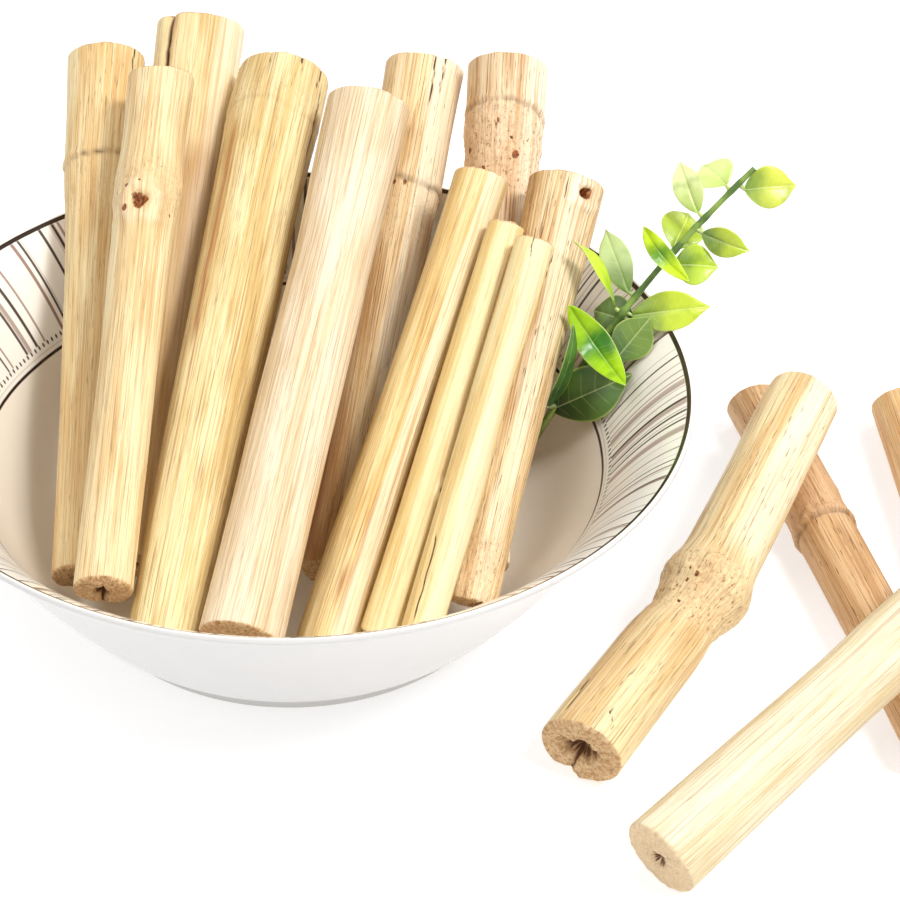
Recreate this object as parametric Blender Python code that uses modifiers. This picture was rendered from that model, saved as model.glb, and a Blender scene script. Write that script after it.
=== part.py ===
"""Cut sugarcane sticks in a ceramic bowl, with loose sticks beside it and a leafy sprig.

Metres, +Z up, the table is z = 0. Millimetre values below are turned into metres by MM.
Everything is laid out around the bowl's axis and then shifted, so that the origin is under the
middle of the whole group.
"""

import math

import bmesh
import bpy
from mathutils import Matrix, Vector

MM = 0.001

# Driving dimensions, in millimetres
BOWL_RIM_RADIUS = 76.6
BOWL_HEIGHT = 46.8
BOWL_LIP_WIDTH = 1.2
BOWL_FLOOR_HEIGHT = 5.4
BOWL_FLOOR_RADIUS = 33.0
BOWL_WELL_RADIUS = 60.4
BOWL_WELL_HEIGHT = 28.0
FOOT_OUTER_RADIUS = 43.4
FOOT_INNER_RADIUS = 40.2
FOOT_HEIGHT = 3.0
FOOT_RECESS = 2.4
BOWL_SEGMENTS = 48

CANE_SIDES = 16
CANE_RINGS = 12
CANE_OVAL = 0.02
NODE_WIDTH = 0.05
GOLDEN_ANGLE = math.radians(137.5)

STEM_RADIUS = 0.85
STEM_POINTS = 16
STEM_FOOT = (43.3, 10.0, 15.4)
STEM_MIDDLE = (59.7, 20.0, 42.7)
STEM_TIP = (88.6, 35.1, 75.0)
STEM_MIDDLE_SHARE = 0.42

LEAF_THICKNESS = 0.6
LEAF_GAP = 1.0
LEAF_ROWS = 7
LEAF_COLUMNS = 4
LEAF_TIP_SHARE = 0.05
LEAF_BASE_SHARE = 0.12

# Canes in the bowl: low end, high end, diameters at low end, middle and high end,
# where the node sits along the cane, how far it swells, and the sideways bend at the node.
BOWL_CANES = {
    "bowl_cane_back_left": ((-29.9, -18.3, 12.6), (-27.3, 97.1, 70.3), (12.6, 15.6, 18.6), 0.30, 0.3, 0.0),
    "bowl_cane_back_right": ((36.7, -16.4, 13.9), (40.2, 87.5, 67.8), (12.4, 13.4, 18.0), 0.86, 0.4, 0.0),
    "bowl_cane_back_middle": ((8.7, -17.8, 11.6), (22.2, 92.1, 64.8), (12.0, 13.8, 17.0), 0.73, 0.4, 0.0),
    "bowl_cane_far_left": ((-38.4, -30.2, 19.2), (-47.1, 89.6, 65.6), (9.7, 11.3, 16.6), 0.76, 0.4, -0.3),
    "bowl_cane_thick": ((-19.7, -48.2, 21.8), (-7.9, 81.9, 66.6), (13.6, 16.9, 19.5), 0.90, 0.5, -0.3),
    "bowl_cane_right": ((35.4, -32.8, 18.4), (52.4, 49.4, 61.4), (8.9, 11.8, 15.4), 0.12, 0.1, 0.0),
    "bowl_cane_bud": ((-30.6, -45.5, 29.3), (-32.0, 67.3, 73.2), (10.6, 11.6, 13.4), 0.75, 0.8, -0.2),
    "bowl_cane_pale": ((-5.6, -52.4, 24.7), (11.2, 66.5, 68.9), (15.2, 15.6, 17.2), 0.70, -0.5, 0.3),
    "bowl_cane_slim": ((8.7, -40.1, 12.9), (35.1, 48.9, 62.6), (11.3, 10.1, 11.3), 0.10, 0.1, -0.3),
    "bowl_cane_thin_left": ((18.8, -39.8, 17.1), (40.1, 33.7, 60.6), (7.3, 7.5, 7.5), 0.38, 0.1, 0.1),
    "bowl_cane_thin_right": ((26.4, -41.7, 19.5), (45.6, 25.4, 61.9), (7.6, 7.4, 7.3), 0.38, 0.1, 0.1),
}

# Canes on the table beside the bowl, described in the same way.
LOOSE_CANES = {
    "loose_cane_front": ((55.6, -59.9, 8.8), (104.2, 32.8, 22.8), (15.9, 15.4, 14.8), 0.42, 0.7, 4.1),
    "loose_cane_dark": ((121.6, -55.3, 6.6), (97.4, 51.5, 6.8), (12.2, 12.2, 13.4), 0.66, 0.3, 0.0),
    "loose_cane_across": ((68.6, -84.3, 7.4), (143.2, -11.6, 27.4), (14.4, 13.6, 14.2), 0.60, 0.2, 0.0),
    "loose_cane_end": ((136.6, -74.9, 6.6), (129.6, 53.5, 6.6), (11.8, 12.0, 12.6), 0.45, 0.4, 0.0),
}

# Leaves: share of the stem where each sits, vector from base to tip, full width,
# roll about its own length in degrees, and cup (positive folds the sides towards the face).
LEAVES = {
    "leaf_01_tip": (0.940, (12.0, 2.0, 0.5), 8.2, 0, 0.14),
    "leaf_02": (0.915, (-4.6, 6.0, 1.4), 7.0, 10, 0.12),
    "leaf_03": (0.820, (-4.2, 9.2, 7.4), 5.4, -15, 0.14),
    "leaf_04": (0.790, (9.8, -3.8, -1.8), 5.4, 20, 0.12),
    "leaf_05": (0.715, (4.0, 9.8, 3.2), 8.0, 0, 0.12),
    "leaf_06": (0.665, (-4.4, -1.4, 8.6), 5.2, 20, 0.16),
    "leaf_07": (0.685, (9.2, -1.0, 0.6), 7.4, -10, 0.12),
    "leaf_08": (0.640, (4.8, -6.8, 0.4), 5.2, 20, 0.16),
    "leaf_09": (0.520, (16.6, -0.6, 3.4), 7.4, 0, 0.10),
    "leaf_10": (0.510, (-8.2, 4.0, 13.0), 4.4, 65, 0.14),
    "leaf_11": (0.560, (-5.0, 12.6, 7.4), 5.2, -10, 0.14),
    "leaf_12": (0.480, (-8.2, 5.6, -0.6), 6.6, 0, 0.10),
    "leaf_13": (0.460, (4.4, -4.2, -5.0), 7.4, 0, 0.08),
    "leaf_14": (0.420, (-7.6, -5.0, 6.6), 7.0, 15, 0.16),
    "leaf_15": (0.385, (4.2, -13.6, 1.2), 7.2, 10, 0.12),
    "leaf_16": (0.215, (4.8, 3.6, 15.2), 3.8, 65, 0.10),
    "leaf_17": (0.185, (13.6, -2.4, 10.0), 8.0, 0, 0.12),
}
LEAF_FACING = Vector((0.0, -0.80, 0.60))


def clear_scene():
    for item in list(bpy.data.objects):
        bpy.data.objects.remove(item)


def new_collection(name):
    group = bpy.data.collections.new(name)
    bpy.context.scene.collection.children.link(group)
    return group


def make_material(name, colour, roughness, metallic=0.0):
    material = bpy.data.materials.new(name)
    material.use_nodes = True
    shader = material.node_tree.nodes["Principled BSDF"]
    shader.inputs["Base Color"].default_value = (*colour, 1.0)
    shader.inputs["Roughness"].default_value = roughness
    shader.inputs["Metallic"].default_value = metallic
    return material


def add_object(name, mesh, group, parent, material):
    item = bpy.data.objects.new(name, mesh)
    mesh.materials.append(material)
    group.objects.link(item)
    item.parent = parent
    return item


def bezier(start, lead, trail, end, steps):
    """Points of a cubic curve in the (radius, height) plane, ends included."""
    points = []
    for i in range(steps + 1):
        t = i / steps
        weights = ((1 - t) ** 3, 3 * t * (1 - t) ** 2, 3 * t * t * (1 - t), t**3)
        corners = (start, lead, trail, end)
        radius = sum(w * c[0] for w, c in zip(weights, corners))
        height = sum(w * c[1] for w, c in zip(weights, corners))
        points.append((radius, height))
    return points


def bowl_profile():
    """Half section from the middle of the floor up the inside, over the lip and down the outside."""
    inner_rim = (BOWL_RIM_RADIUS - BOWL_LIP_WIDTH, BOWL_HEIGHT - 0.5)
    well_edge = (BOWL_WELL_RADIUS, BOWL_WELL_HEIGHT)
    well = bezier(
        (BOWL_FLOOR_RADIUS, BOWL_FLOOR_HEIGHT), (BOWL_FLOOR_RADIUS + 14, BOWL_FLOOR_HEIGHT),
        (BOWL_WELL_RADIUS - 6, BOWL_WELL_HEIGHT - 10), well_edge, 7)
    flare = bezier(
        well_edge, (BOWL_WELL_RADIUS + 4, BOWL_WELL_HEIGHT + 7),
        (inner_rim[0] - 6, inner_rim[1] - 4.4), inner_rim, 6)
    lip = [(BOWL_RIM_RADIUS - 0.6, BOWL_HEIGHT), (BOWL_RIM_RADIUS - 0.1, BOWL_HEIGHT - 0.3)]
    outer_rim = (BOWL_RIM_RADIUS, BOWL_HEIGHT - 0.9)
    wall_foot = (FOOT_OUTER_RADIUS + 1.2, FOOT_HEIGHT)
    wall = bezier(
        outer_rim, (outer_rim[0] - 5.5, outer_rim[1] - 3.2),
        (wall_foot[0] + 9, wall_foot[1] + 6), wall_foot, 7)
    foot = [
        (FOOT_OUTER_RADIUS, FOOT_HEIGHT - 0.6), (FOOT_OUTER_RADIUS, 0.5), (FOOT_OUTER_RADIUS - 0.4, 0.0),
        (FOOT_INNER_RADIUS, 0.0), (FOOT_INNER_RADIUS - 1.0, FOOT_RECESS)]
    centre_floor = [(0.0, BOWL_FLOOR_HEIGHT - 0.2)]
    centre_under = [(0.0, FOOT_RECESS)]
    return centre_floor + well + flare[1:] + lip + wall + foot + centre_under


def add_bowl(group, parent, material):
    mesh = bpy.data.meshes.new("bowl")
    points = [(r * MM, 0.0, z * MM) for r, z in bowl_profile()]
    edges = [(i, i + 1) for i in range(len(points) - 1)]
    mesh.from_pydata(points, edges, [])
    bowl = add_object("bowl", mesh, group, parent, material)
    turn = bowl.modifiers.new("Turn", "SCREW")
    turn.axis = "Z"
    turn.steps = BOWL_SEGMENTS
    turn.render_steps = BOWL_SEGMENTS
    turn.use_merge_vertices = True
    turn.merge_threshold = 0.00001
    turn.use_smooth_shade = True
    return bowl


def cane_radius(share, angle, diameters, node, swell, phase):
    """Radius in mm: a parabola through the three diameters, a swelling node and an oval section."""
    low, middle, high = (0.5 * d for d in diameters)
    taper = (
        low * (2 * share - 1) * (share - 1)
        + middle * 4 * share * (1 - share)
        + high * share * (2 * share - 1))
    bulge = swell * math.exp(-(((share - node) / NODE_WIDTH) ** 2))
    return taper * (1 + CANE_OVAL * math.cos(2 * angle + phase)) + bulge


def cane_frame(foot, head):
    """Rotation whose Z runs from foot to head and whose X is level."""
    along = (head - foot).normalized()
    side = along.cross(Vector((0, 0, 1))).normalized()
    down = along.cross(side)
    return Matrix((side, down, along)).transposed()


def add_cane(name, spec, number, group, parent, material):
    foot, head, diameters, node, swell, bend = spec
    foot = Vector(foot)
    head = Vector(head)
    length = (head - foot).length
    bm = bmesh.new()
    bmesh.ops.create_cone(bm, cap_ends=True, segments=CANE_SIDES, radius1=1, radius2=1, depth=1)
    for ring in range(1, CANE_RINGS):
        cut = Vector((0, 0, ring / CANE_RINGS - 0.5))
        geometry = bm.verts[:] + bm.edges[:] + bm.faces[:]
        bmesh.ops.bisect_plane(bm, geom=geometry, plane_co=cut, plane_no=(0, 0, 1))
    for vertex in bm.verts:
        share = vertex.co.z + 0.5
        angle = math.atan2(vertex.co.y, vertex.co.x)
        radius = cane_radius(share, angle, diameters, node, swell, number * GOLDEN_ANGLE)
        sideways = bend * min(share / node, (1 - share) / (1 - node))
        vertex.co.x = (radius * math.cos(angle) + sideways) * MM
        vertex.co.y = radius * math.sin(angle) * MM
        vertex.co.z = share * length * MM
    mesh = bpy.data.meshes.new(name)
    bm.to_mesh(mesh)
    bm.free()
    mesh.shade_smooth()
    mesh.set_sharp_from_angle(angle=math.radians(50))
    cane = add_object(name, mesh, group, parent, material)
    cane.location = foot * MM
    cane.rotation_euler = cane_frame(foot, head).to_euler()
    return cane


def settle_on_table(cane):
    """Lets a lying cane down until its lowest point is on the table."""
    bpy.context.view_layer.update()
    lowest = min((cane.matrix_world @ vertex.co).z for vertex in cane.data.vertices)
    cane.location.z -= lowest


def stem_point(share):
    """Quadratic curve through the stem's foot, middle point and tip."""
    foot = Vector(STEM_FOOT)
    middle = Vector(STEM_MIDDLE)
    tip = Vector(STEM_TIP)
    k = STEM_MIDDLE_SHARE
    return (
        foot * ((share - k) * (share - 1) / k)
        + middle * (share * (share - 1) / (k * (k - 1)))
        + tip * (share * (share - k) / (1 - k)))


def add_stem(group, parent, material):
    curve = bpy.data.curves.new("sprig_stem", "CURVE")
    curve.dimensions = "3D"
    curve.bevel_depth = STEM_RADIUS * MM
    curve.bevel_resolution = 2
    curve.use_fill_caps = True
    spline = curve.splines.new("POLY")
    spline.points.add(STEM_POINTS - 1)
    for i, point in enumerate(spline.points):
        point.co = (*(stem_point(i / (STEM_POINTS - 1)) * MM), 1.0)
    return add_object("sprig_stem", curve, group, parent, material)


def leaf_half_width(share):
    """Ovate outline from base (0) to tip (1), widest a little before the middle."""
    shape = math.sin(math.pi * share**0.9)
    ends = LEAF_BASE_SHARE * (1 - share) + LEAF_TIP_SHARE * share
    return max(shape, ends)


def leaf_frame(reach, roll):
    """Length, width and face directions of a leaf that looks towards the front and up."""
    along = reach.normalized()
    face = (LEAF_FACING - along * LEAF_FACING.dot(along)).normalized()
    face.rotate(Matrix.Rotation(math.radians(roll), 3, along))
    return along, face.cross(along), face


def add_leaf(name, spec, group, parent, material):
    share, reach, width, roll, cup = spec
    reach = Vector(reach)
    along, across, face = leaf_frame(reach, roll)
    stem_run = (stem_point(share + 0.01) - stem_point(share - 0.01)).normalized()
    away = (reach - stem_run * reach.dot(stem_run)).normalized()
    start = stem_point(share) + away * (STEM_RADIUS + LEAF_GAP)
    length = reach.length - STEM_RADIUS - LEAF_GAP
    bm = bmesh.new()
    bmesh.ops.create_grid(bm, x_segments=LEAF_ROWS, y_segments=LEAF_COLUMNS, size=1)
    for vertex in bm.verts:
        run = 0.5 * (vertex.co.x + 1)
        half = 0.5 * width * leaf_half_width(run)
        offset = vertex.co.y * half
        rise = cup * (abs(vertex.co.y) * half + length * 0.5 * math.sin(math.pi * run))
        vertex.co = (start + along * (run * length) + across * offset + face * rise) * MM
    mesh = bpy.data.meshes.new(name)
    bm.to_mesh(mesh)
    bm.free()
    mesh.shade_smooth()
    leaf = add_object(name, mesh, group, parent, material)
    shell = leaf.modifiers.new("Blade", "SOLIDIFY")
    shell.thickness = LEAF_THICKNESS * MM
    shell.offset = 0.0
    shell.use_even_offset = False
    return leaf


def centre_origin(items, origin):
    """Moves the whole group so that the origin is under the middle of its box."""
    bpy.context.view_layer.update()
    depsgraph = bpy.context.evaluated_depsgraph_get()
    corners = []
    for item in items:
        seen = item.evaluated_get(depsgraph)
        mesh = seen.to_mesh()
        corners += [seen.matrix_world @ vertex.co for vertex in mesh.vertices]
        seen.to_mesh_clear()
    middle_x = 0.5 * (min(c.x for c in corners) + max(c.x for c in corners))
    middle_y = 0.5 * (min(c.y for c in corners) + max(c.y for c in corners))
    origin.location = (-middle_x, -middle_y, 0.0)


def main():
    clear_scene()
    group = new_collection("sugarcane_sticks")
    origin = bpy.data.objects.new("group_origin", None)
    group.objects.link(origin)
    glaze = make_material("white_glaze", (0.86, 0.85, 0.82), 0.15)
    cane_skin = make_material("dried_cane", (0.78, 0.60, 0.33), 0.6)
    stem_green = make_material("stem_green", (0.10, 0.22, 0.03), 0.45)
    leaf_green = make_material("leaf_green", (0.25, 0.48, 0.04), 0.35)

    items = [add_bowl(group, origin, glaze)]
    for number, (name, spec) in enumerate(BOWL_CANES.items()):
        items.append(add_cane(name, spec, number, group, origin, cane_skin))
    for number, (name, spec) in enumerate(LOOSE_CANES.items(), start=len(BOWL_CANES)):
        cane = add_cane(name, spec, number, group, origin, cane_skin)
        settle_on_table(cane)
        items.append(cane)
    items.append(add_stem(group, origin, stem_green))
    for name, spec in LEAVES.items():
        items.append(add_leaf(name, spec, group, origin, leaf_green))
    centre_origin(items, origin)


main()
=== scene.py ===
import math

import bpy
import numpy as np
from mathutils import Matrix, Vector


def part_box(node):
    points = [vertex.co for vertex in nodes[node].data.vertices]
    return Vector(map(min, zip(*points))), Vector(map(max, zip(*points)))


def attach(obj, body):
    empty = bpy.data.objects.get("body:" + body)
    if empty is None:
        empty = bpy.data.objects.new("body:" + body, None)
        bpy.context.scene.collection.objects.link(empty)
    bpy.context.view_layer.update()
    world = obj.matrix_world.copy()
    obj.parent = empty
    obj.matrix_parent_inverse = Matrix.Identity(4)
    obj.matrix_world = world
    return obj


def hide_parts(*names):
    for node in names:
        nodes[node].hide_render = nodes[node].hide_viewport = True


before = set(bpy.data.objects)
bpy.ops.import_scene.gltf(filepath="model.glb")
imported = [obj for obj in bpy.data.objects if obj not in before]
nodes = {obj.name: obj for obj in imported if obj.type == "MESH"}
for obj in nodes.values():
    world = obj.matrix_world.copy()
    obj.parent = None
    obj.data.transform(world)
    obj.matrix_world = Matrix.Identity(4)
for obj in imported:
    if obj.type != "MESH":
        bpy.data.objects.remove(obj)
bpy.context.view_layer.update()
mm = 0.001
fullTurn = 2 * math.pi
collection = bpy.context.scene.collection


def paint(code):
    # "rrggbb" as seen on a screen, turned into the linear colour that a shader wants
    parts = np.array([int(code[i:i + 2], 16) for i in (0, 2, 4)]) / 255
    linear = np.where(parts > 0.04045, ((parts + 0.055) / 1.055) ** 2.4, parts / 12.92)
    return (*linear.tolist(), 1.0)


class Wire:
    # A shader socket that can stand in sums with numbers and other sockets.
    def __init__(self, shader, socket):
        self.shader = shader
        self.socket = socket

    def __add__(self, other):
        return self.shader.math("ADD", self, other)

    def __sub__(self, other):
        return self.shader.math("SUBTRACT", self, other)

    def __rsub__(self, other):
        return self.shader.math("SUBTRACT", other, self)

    def __mul__(self, other):
        return self.shader.math("MULTIPLY", self, other)

    def __truediv__(self, other):
        return self.shader.math("DIVIDE", self, other)

    def __rtruediv__(self, other):
        return self.shader.math("DIVIDE", other, self)

    def __gt__(self, other):
        return self.shader.math("GREATER_THAN", self, other)

    def __lt__(self, other):
        return self.shader.math("LESS_THAN", self, other)

    __radd__ = __add__
    __rmul__ = __mul__


class Shader:
    # A material's node tree, grown by add() and by sums of wires.
    def __init__(self, name):
        self.material = bpy.data.materials.new(name)
        self.material.use_nodes = True
        self.tree = self.material.node_tree
        self.tree.nodes.clear()

    def add(self, kind, settings=None, inputs=None, output=0):
        # any node: its type, its settings first, then socket values or wires
        node = self.tree.nodes.new("ShaderNode" + kind)
        for name, value in (settings or {}).items():
            setattr(node, name, value)
        for name, value in (inputs or {}).items():
            if isinstance(value, Wire):
                self.tree.links.new(value.socket, node.inputs[name])
            else:
                node.inputs[name].default_value = value
        return Wire(self, node.outputs[output])

    def math(self, operation, *values):
        return self.add("Math", {"operation": operation}, dict(enumerate(values)))

    def mix(self, share, first, second):
        return self.add("Mix", {"data_type": "RGBA"}, {0: share, 6: first, 7: second}, 2)

    def step(self, value, low, high):
        # smooth step from 0 at low to 1 at high
        settings = {"interpolation_type": "SMOOTHSTEP"}
        return self.add("MapRange", settings, {0: value, 1: low, 2: high})

    def noise(self, vector, scale, detail=2.0, roughness=0.5, stretch=(1, 1, 1)):
        # noise from 0 to 1, pulled out along an axis where stretch is small
        placed = self.add("Mapping", {}, {"Vector": vector, "Scale": stretch})
        inputs = {"Vector": placed, "Scale": scale, "Detail": detail, "Roughness": roughness}
        return self.add("TexNoise", {}, inputs)

    def attribute(self, name, output="Fac"):
        return self.add("Attribute", {"attribute_name": name}, {}, output)

    def finish(self, colour, roughness, height=None, depth=0.0, **fixed):
        # the surface, with a bump from a height wire and fixed numbers on its own sockets
        inputs = {"Base Color": colour, "Roughness": roughness, **fixed}
        if height is not None:
            inputs["Normal"] = self.add(
                "Bump", {}, {"Strength": 1.0, "Distance": depth, "Height": height})
        surface = self.add("BsdfPrincipled", {}, inputs)
        output = self.tree.nodes.new("ShaderNodeOutputMaterial")
        self.tree.links.new(surface.socket, output.inputs["Surface"])
        return self.material


def softNoise(turn, run, cells, seed):
    # Random heights from -1 to 1 on a lattice that closes after `cells` steps round the
    # piece, blended between lattice points by 3t^2 - 2t^3. turn is 0 to 1, run is in cells.
    rows = 509
    table = np.random.default_rng(seed).uniform(-1, 1, (rows, cells))
    across = np.mod(turn, 1.0) * cells
    column, row = np.floor(across).astype(int), np.floor(run).astype(int)
    shareAcross, shareAlong = across - column, run - row
    shareAcross = shareAcross**2 * (3 - 2 * shareAcross)
    shareAlong = shareAlong**2 * (3 - 2 * shareAlong)
    column, nextColumn = column % cells, (column + 1) % cells
    row, nextRow = row % rows, (row + 1) % rows
    near = table[row, column] * (1 - shareAcross) + table[row, nextColumn] * shareAcross
    far = table[nextRow, column] * (1 - shareAcross) + table[nextRow, nextColumn] * shareAcross
    return near * (1 - shareAlong) + far * shareAlong


def smoothRows(values, width):
    # running bell-shaped average down the rows, with the ends carried on in a straight line
    reach = int(3 * width)
    weights = np.exp(-0.5 * (np.arange(-reach, reach + 1) / width) ** 2)
    weights /= weights.sum()
    before = 2 * values[:1] - values[reach:0:-1]
    after = 2 * values[-1:] - values[-2:-reach - 2:-1]
    padded = np.concatenate([before, values, after])
    return sum(w * padded[i:i + len(values)] for i, w in enumerate(weights))


def makeMesh(name, points, faces, attributes=None):
    mesh = bpy.data.meshes.new(name)
    mesh.from_pydata(points, [], faces)
    for key, values in (attributes or {}).items():
        vector = values.ndim == 2
        store = mesh.attributes.new(key, "FLOAT_VECTOR" if vector else "FLOAT", "POINT")
        store.data.foreach_set("vector" if vector else "value", values.astype(np.float32).ravel())
    mesh.polygons.foreach_set("use_smooth", np.ones(len(mesh.polygons), bool))
    mesh.update()
    return mesh


def closedTube(name, points, attributes, flip=False):
    # A tube from rows x columns x 3 points that wraps round its columns. The first and the
    # last row are each shut by a fan to a point in their middle.
    rows, columns = points.shape[:2]
    index = np.arange(rows * columns).reshape(rows, columns)
    following = np.roll(index, -1, axis=1)
    quads = np.stack([index[:-1], index[1:], following[1:], following[:-1]], -1).reshape(-1, 4)
    first, last = rows * columns, rows * columns + 1
    low = np.stack([index[0], following[0], np.full(columns, first)], -1)
    high = np.stack([following[-1], index[-1], np.full(columns, last)], -1)
    if flip:
        quads, low, high = quads[:, ::-1], low[:, ::-1], high[:, ::-1]
    every = np.vstack([points.reshape(-1, 3), points[0].mean(0), points[-1].mean(0)])
    full = {}
    for key, grid in attributes.items():
        flat = grid.reshape(rows * columns, -1)
        flat = np.vstack([flat, grid[0].reshape(columns, -1).mean(0), grid[-1].reshape(columns, -1).mean(0)])
        full[key] = flat[:, 0] if grid.ndim == 2 else flat
    faces = quads.tolist() + low.tolist() + high.tolist()
    return makeMesh(name, every, faces, full)


def placePiece(name, mesh, material, slotName, *stoodFor):
    piece = bpy.data.objects.new(name, mesh)
    mesh.materials.append(material)
    collection.objects.link(piece)
    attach(piece, "root")
    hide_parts(*stoodFor)
    return piece


def pieceName(node):
    first, *rest = node.split("_")
    return first + "".join(word.capitalize() for word in rest)


def cadCorners(node):
    # a CAD node's vertices, and its triangles as rows of three vertex numbers
    mesh = nodes[node].data
    corners = np.empty(len(mesh.vertices) * 3)
    mesh.vertices.foreach_get("co", corners)
    mesh.calc_loop_triangles()
    triangles = np.empty(len(mesh.loop_triangles) * 3, np.int32)
    mesh.loop_triangles.foreach_get("vertices", triangles)
    return corners.reshape(-1, 3), triangles.reshape(-1, 3)


def planeCuts(corners, triangles, heights):
    # where the edges of the triangles cross each plane z = height
    cuts = []
    for height in heights:
        found = []
        for i, j in ((0, 1), (1, 2), (2, 0)):
            a, b = corners[triangles[:, i]], corners[triangles[:, j]]
            crossing = (a[:, 2] - height) * (b[:, 2] - height) < 0
            a, b = a[crossing], b[crossing]
            share = ((height - a[:, 2]) / (b[:, 2] - a[:, 2]))[:, None]
            found.append(a + share * (b - a))
        cuts.append(np.concatenate(found)[:, :2])
    return cuts


caneMake = {
    "bodyRows": 190,
    "columns": 128,
    "faceRows": 18,
    "edgeRows": 5,
    "wornEdge": 0.7,        # mm, rounding of the cut edges
    "ribHeight": 0.07,      # mm, fine ribs along the fibres
    "lumpHeight": 0.22,     # mm, broad unevenness
    "coatRadius": 8.0,      # mm, the circle on which the fibre pattern is drawn
    "faceGrain": 0.22,      # mm, torn fibre ends on the cut faces
    "sections": 30,
    "chordGain": 1.009,     # makes up for the flats between the corners of the CAD ring
}

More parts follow.
